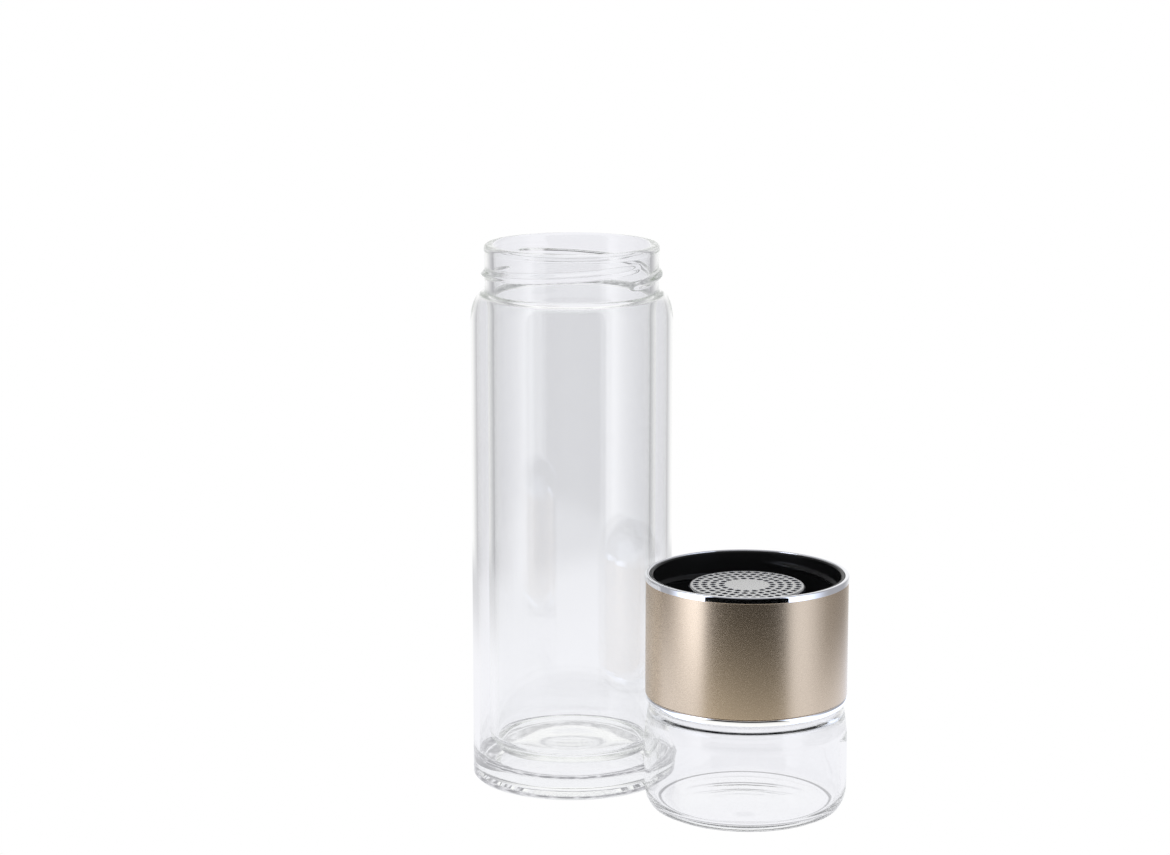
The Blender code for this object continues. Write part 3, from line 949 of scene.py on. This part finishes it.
bead_z = sleeve_low - ring_gap - bottom_bead_height
bead_top = bead_z + bottom_bead_height
bead_middle = bottom_ring_radius - bottom_bead_reach
bottom_ring = turned_ring(
    arc((bead_middle, bead_z), (bottom_bead_reach, bead_z - collar_low), -90, 0, 12),
    arc((bead_middle, bead_z), (bottom_bead_reach, bottom_bead_height), 0, 90, 10)[1:],
    runs([(bead_middle, bead_top), (bottom_ring_inner, bead_top), (bottom_ring_inner, collar_low),
          (bead_middle, collar_low)], [1, 1, 1]))
piece("chrome_bottom_ring", bottom_ring, infuser_axis, chrome, "collar",
      ("collar_bottom_ring",))

# %% [markdown]
# ## The core
#
# The core is one moulding: an outer wall, a partition across the middle, and a threaded socket above
# and below it. A thin rim goes up inside the top ring, so that the mouth is black right to the top.
# The thread ridges stand inwards, so the same threaded wall is used with a height below zero.
# Looking down into the collar, the ridges catch two thin lines of light.

# %% The core's outline
core_low = low_of("collar_core")
core_high = high_of("collar_core")
core_radius = radius_of("collar_core")
socket_radius = 0.0301
ridge_height = -0.0011
ridge_half_width = 0.0012
ridge_from_seal = 0.0117
ridge_climb_deg = 171.0
ridge_span_deg = 176.0
upper_ridge_deg = -96.0
upper_rows = 60
lower_ridge_after_cup_deg = 76.0
lower_rows = 56
lead_in = 0.0004
rim_below_top = 0.0003
seat_gap = 0.0003
partition_hole = 0.0202

rim_radius = top_ring_inner - ring_gap
rim_high = collar_high - rim_below_top
partition_high = low_of("bottle_seal") - seat_gap
partition_low = high_of("cup_seal") + seat_gap
upper_ridge_z = high_of("bottle_seal") + ridge_from_seal - thread_lead * ridge_climb_deg / 360.0
lower_ridge_z = cup_height - ridge_from_seal
lower_ridge_deg = cup_thread_deg + lower_ridge_after_cup_deg
upper_socket = threaded_wall(socket_radius, partition_high + run_inset, rim_high - lead_in, upper_rows,
                             ridge_height, ridge_half_width, upper_ridge_z, upper_ridge_deg, ridge_span_deg)
lower_socket = threaded_wall(socket_radius, core_low + lead_in, partition_low - run_inset, lower_rows,
                             ridge_height, ridge_half_width, lower_ridge_z, lower_ridge_deg, ridge_span_deg)
core = turned_ring(
    runs([(core_radius, core_low), (core_radius, core_high), (rim_radius, core_high),
          (rim_radius, rim_high), (socket_radius + lead_in, rim_high)], [6, 1, 1, 1]),
    upper_socket[:, ::-1],
    runs([(socket_radius, partition_high), (partition_hole, partition_high),
          (partition_hole, partition_low), (socket_radius, partition_low)], [4, 2, 4]),
    lower_socket[:, ::-1],
    run((socket_radius + lead_in, core_low), (core_radius, core_low)))
piece("collar_core_moulding", core, infuser_axis, black, "collar", ("collar_core",))

# %% [markdown]
# ## Seals and the gasket
#
# Silicone seals are soft rings with rounded edges. A flat one lies on each side of the partition, for
# the two glass lips to close on. The strainer sits in a third, a sleeve with a lip at the top. They
# are cut or moulded flat, which a torus isn't, so they are turned like the metal rings.

# %% Three silicone rings
seal_inner = 0.0245
seal_outer = 0.0298
seal_edge = 0.0004


def flat_seal(name, node, body):
    """A flat ring with four rounded edges, as tall as the node that it replaces."""
    low, high = low_of(node), high_of(node)
    outline = [corner(seal_outer - seal_edge, low + seal_edge, seal_edge, -90, 6),
               corner(seal_outer - seal_edge, high - seal_edge, seal_edge, 0, 6),
               run((seal_outer - seal_edge, high), (seal_inner + seal_edge, high)),
               corner(seal_inner + seal_edge, high - seal_edge, seal_edge, 90, 6),
               corner(seal_inner + seal_edge, low + seal_edge, seal_edge, 180, 6),
               run((seal_inner + seal_edge, low), (seal_outer - seal_edge, low))]
    piece(name, turned_ring(*outline), infuser_axis, silicone, body, (node,))


flat_seal("bottle_seal_ring", "bottle_seal", "collar")
flat_seal("cup_seal_ring", "cup_seal", "cup_seal")

gasket_inner = 0.0190
gasket_outer = 0.0199
gasket_low = low_of("strainer_gasket")
gasket_high = high_of("strainer_gasket")
gasket_reach = radius_of("strainer_gasket")
gasket_edge = 0.0003
gasket_lip_low = partition_high + seat_gap
gasket = turned_ring(
    run((gasket_inner, gasket_low), (gasket_outer - gasket_edge, gasket_low)),
    corner(gasket_outer - gasket_edge, gasket_low + gasket_edge, gasket_edge, -90),
    runs([(gasket_outer, gasket_low + gasket_edge), (gasket_outer, gasket_lip_low),
          (gasket_reach - gasket_edge, gasket_lip_low)], [2, 1]),
    corner(gasket_reach - gasket_edge, gasket_lip_low + gasket_edge, gasket_edge, -90),
    corner(gasket_reach - gasket_edge, gasket_high - gasket_edge, gasket_edge, 0),
    runs([(gasket_reach - gasket_edge, gasket_high), (gasket_inner, gasket_high),
          (gasket_inner, gasket_low)], [2, 3]))
piece("strainer_gasket_ring", gasket, infuser_axis, silicone, "strainer", ("strainer_gasket",))

# %% [markdown]
# ## The strainer
#
# The strainer is a pressed steel cap with four rings of punched holes. A Boolean could punch them, but
# it leaves ragged triangles that shade badly. Here each hole gets its own cell of the sheet: a grid
# that runs from the cell's border in to the hole, over its rounded rim, down the hole and out again
# underneath. The cells of a ring share their sides. The sheet curves down at the cap's edge, and the
# cells of the outer ring follow it.

# %% One ring of cells
hole_radius = 0.00095
hole_rim = 0.00015
rim_points = 4
hole_spacing = 0.0027
ring_step = 0.00277
rings = 4
border = 0.00125
border_steps = 6
first_corner_deg = 135.0
sheet = 0.0008
strainer_round = 0.0010
flange_reach = 0.0009
outer_ring_inset = 0.0022
strainer_foot = low_of("strainer")
strainer_top = high_of("strainer")
strainer_flange = radius_of("strainer")
strainer_radius = strainer_flange - flange_reach
outer_ring = strainer_radius - outer_ring_inset


def crown_drop(radius):
    """How far the sheet has curved down at a radius: the round's size less its circle's height."""
    over = np.clip(radius - (strainer_radius - strainer_round), 0.0, strainer_round)
    return strainer_round - np.sqrt(strainer_round ** 2 - over ** 2)


def cell_ring(radius):
    """Points, faces and point numbers of one ring of cells.

    A cell's columns start at even steps along its four borders, from one corner on. Each one runs
    straight to the hole, over the rim by a quarter circle, down the hole, and the same way back
    underneath. A point of the border is at a turn and a radius, and a point of the hole is at the
    middle plus its reach times the cosine and the sine of the column's own angle.
    """
    count = round(2 * np.pi * radius / hole_spacing)
    share = np.linspace(-1.0, 1.0, border_steps, endpoint=False)
    flat = np.ones(border_steps)
    aim = np.radians(first_corner_deg - 360.0 * np.arange(4 * border_steps) / (4 * border_steps))
    over = np.radians(np.linspace(0.0, 90.0, rim_points))
    rim_reach = hole_radius + hole_rim * (1 - np.sin(over))
    rim_depth = hole_rim * (1 - np.cos(over))
    reach = np.concatenate([rim_reach, rim_reach[::-1]])
    depth = np.concatenate([[0.0, 0.0], rim_depth, sheet - rim_depth[::-1], [sheet, sheet]])
    border_turn = np.pi / count * np.concatenate([share, flat, -share, -flat])[:, None]
    border_out = border * np.concatenate([flat, -share, -flat, share])[:, None]
    hole_turn = np.cos(aim)[:, None] * reach / radius
    hole_out = np.sin(aim)[:, None] * reach
    between_turn = (border_turn + hole_turn[:, :1]) / 2
    between_out = (border_out + hole_out[:, :1]) / 2
    turn = np.concatenate([border_turn, between_turn, hole_turn, between_turn, border_turn], axis=1)
    out = radius + np.concatenate([border_out, between_out, hole_out, between_out, border_out], axis=1)
    turn = turn + 2 * np.pi * np.arange(count)[:, None, None] / count
    height = np.broadcast_to(strainer_top - crown_drop(out) - depth, turn.shape)
    points = np.stack([out * np.cos(turn), out * np.sin(turn), height], axis=-1)
    number = np.arange(turn.size).reshape(turn.shape)
    faces = grid_faces(*turn.shape[1:]) + number[:, 0, 0][:, None, None]
    return points.reshape(-1, 3), faces.reshape(-1, 4), number


print("Strainer radius", round(strainer_radius * 1000, 2), "mm")

# %% [markdown]
# ## Closing the strainer
#
# Two neighbouring rings have different counts of cells, so their borders don't line up. A strip of
# triangles joins them, as a zip with unlike teeth would: each step along one border makes a triangle
# with the point that the other border has reached. A fan closes the middle. The cap's side and its
# small flange are turned like the other pieces, and points that share a place are welded into one.

# %% Strips, welds and fans


def strip(points, first, second):
    """Triangles between two circles of points. They face up where the first circle is the outer one.

    Every step along either circle makes one triangle, with the point that the other circle has
    reached by then. Both circles are sorted by their turn about the axis.
    """
    circles = []
    for numbers in (first.ravel(), second.ravel()):
        turn = np.arctan2(points[numbers, 1], points[numbers, 0])
        order = np.argsort(turn)
        circles.append((numbers[order], turn[order]))
    (one, one_turn), (two, two_turn) = circles
    one_end = np.append(one_turn[1:], one_turn[0] + 2 * np.pi)
    two_end = np.append(two_turn[1:], two_turn[0] + 2 * np.pi)
    two_reached = np.searchsorted(np.append(two_turn, two_turn + 2 * np.pi), one_end, "left") - 1
    one_reached = np.searchsorted(np.append(one_turn, one_turn + 2 * np.pi), two_end, "right") - 1
    along_one = np.column_stack([one, np.roll(one, -1), two[two_reached % len(two)]])
    along_two = np.column_stack([np.roll(two, -1), two, one[one_reached % len(one)]])
    return np.concatenate([along_one, along_two])


def welded(points, faces):
    """The same surface with points that share a place, to a micron, made one."""
    grid = np.round(points * 1e6).astype(np.int64)
    _, kept, place = np.unique(grid, axis=0, return_index=True, return_inverse=True)
    return points[kept], [place.reshape(-1)[group] for group in faces]


def fan(numbers, centre, points):
    """Triangles from a circle of points, sorted by their turn, to the point at its centre."""
    numbers = numbers.ravel()
    around = numbers[np.argsort(np.arctan2(points[numbers, 1], points[numbers, 0]))]
    return np.column_stack([around, np.roll(around, -1), np.full(len(around), centre)])


print("Strips, welds and fans ready")

# %% The cap
foot_edge = 0.0003
seam_above = 0.0003
seam_below = 0.00006
wall_inner = strainer_radius - sheet
seam_out = outer_ring + border + seam_above
seam_under = outer_ring + border + seam_below
seam_deg = math.degrees(math.acos((seam_out - strainer_radius + strainer_round) / strainer_round))
cap_wall = turned_points(
    [(seam_under, strainer_top - sheet - crown_drop(seam_under))],
    runs([(wall_inner, strainer_top - strainer_round), (wall_inner, strainer_foot),
          (strainer_flange - foot_edge, strainer_foot)], [6, 1]),
    corner(strainer_flange - foot_edge, strainer_foot + foot_edge, foot_edge, -90),
    corner(strainer_flange - foot_edge, strainer_foot + sheet - foot_edge, foot_edge, 0),
    run((strainer_flange - foot_edge, strainer_foot + sheet),
        (strainer_radius + foot_edge, strainer_foot + sheet)),
    arc((strainer_radius + foot_edge, strainer_foot + sheet + foot_edge), foot_edge, 270, 180, 4),
    run((strainer_radius, strainer_foot + sheet + foot_edge),
        (strainer_radius, strainer_top - strainer_round), 6),
    arc((strainer_radius - strainer_round, strainer_top - strainer_round), strainer_round,
        0, seam_deg, 10))
cap_number = np.arange(cap_wall.shape[0] * cap_wall.shape[1]).reshape(cap_wall.shape[:2])
cap = [(cap_wall.reshape(-1, 3), [grid_faces(*cap_wall.shape[:2])])]
top_circles = [cap_number[:, -1]]
under_circles = [cap_number[:, 0]]
total = cap_number.size
for ring in range(rings):
    ring_points, ring_faces, number = cell_ring(outer_ring - ring * ring_step)
    cap.append((ring_points, [ring_faces]))
    for columns in (number[:, :border_steps], number[:, 2 * border_steps:3 * border_steps]):
        top_circles.append(columns[..., 0] + total)
        under_circles.append(columns[..., -1] + total)
    total += number.size
poles = np.array([[0.0, 0.0, strainer_top], [0.0, 0.0, strainer_top - sheet]])
cap_points, cap_faces = joined(*cap, (poles, []))
for pair in range(0, 2 * rings, 2):
    cap_faces.append(strip(cap_points, top_circles[pair], top_circles[pair + 1]))
    cap_faces.append(strip(cap_points, under_circles[pair + 1], under_circles[pair]))
cap_faces.append(fan(top_circles[-1], total, cap_points))
cap_faces.append(fan(under_circles[-1], total + 1, cap_points)[:, ::-1])
piece("steel_strainer", welded(cap_points, cap_faces), infuser_axis, steel, "strainer",
      ("strainer",))
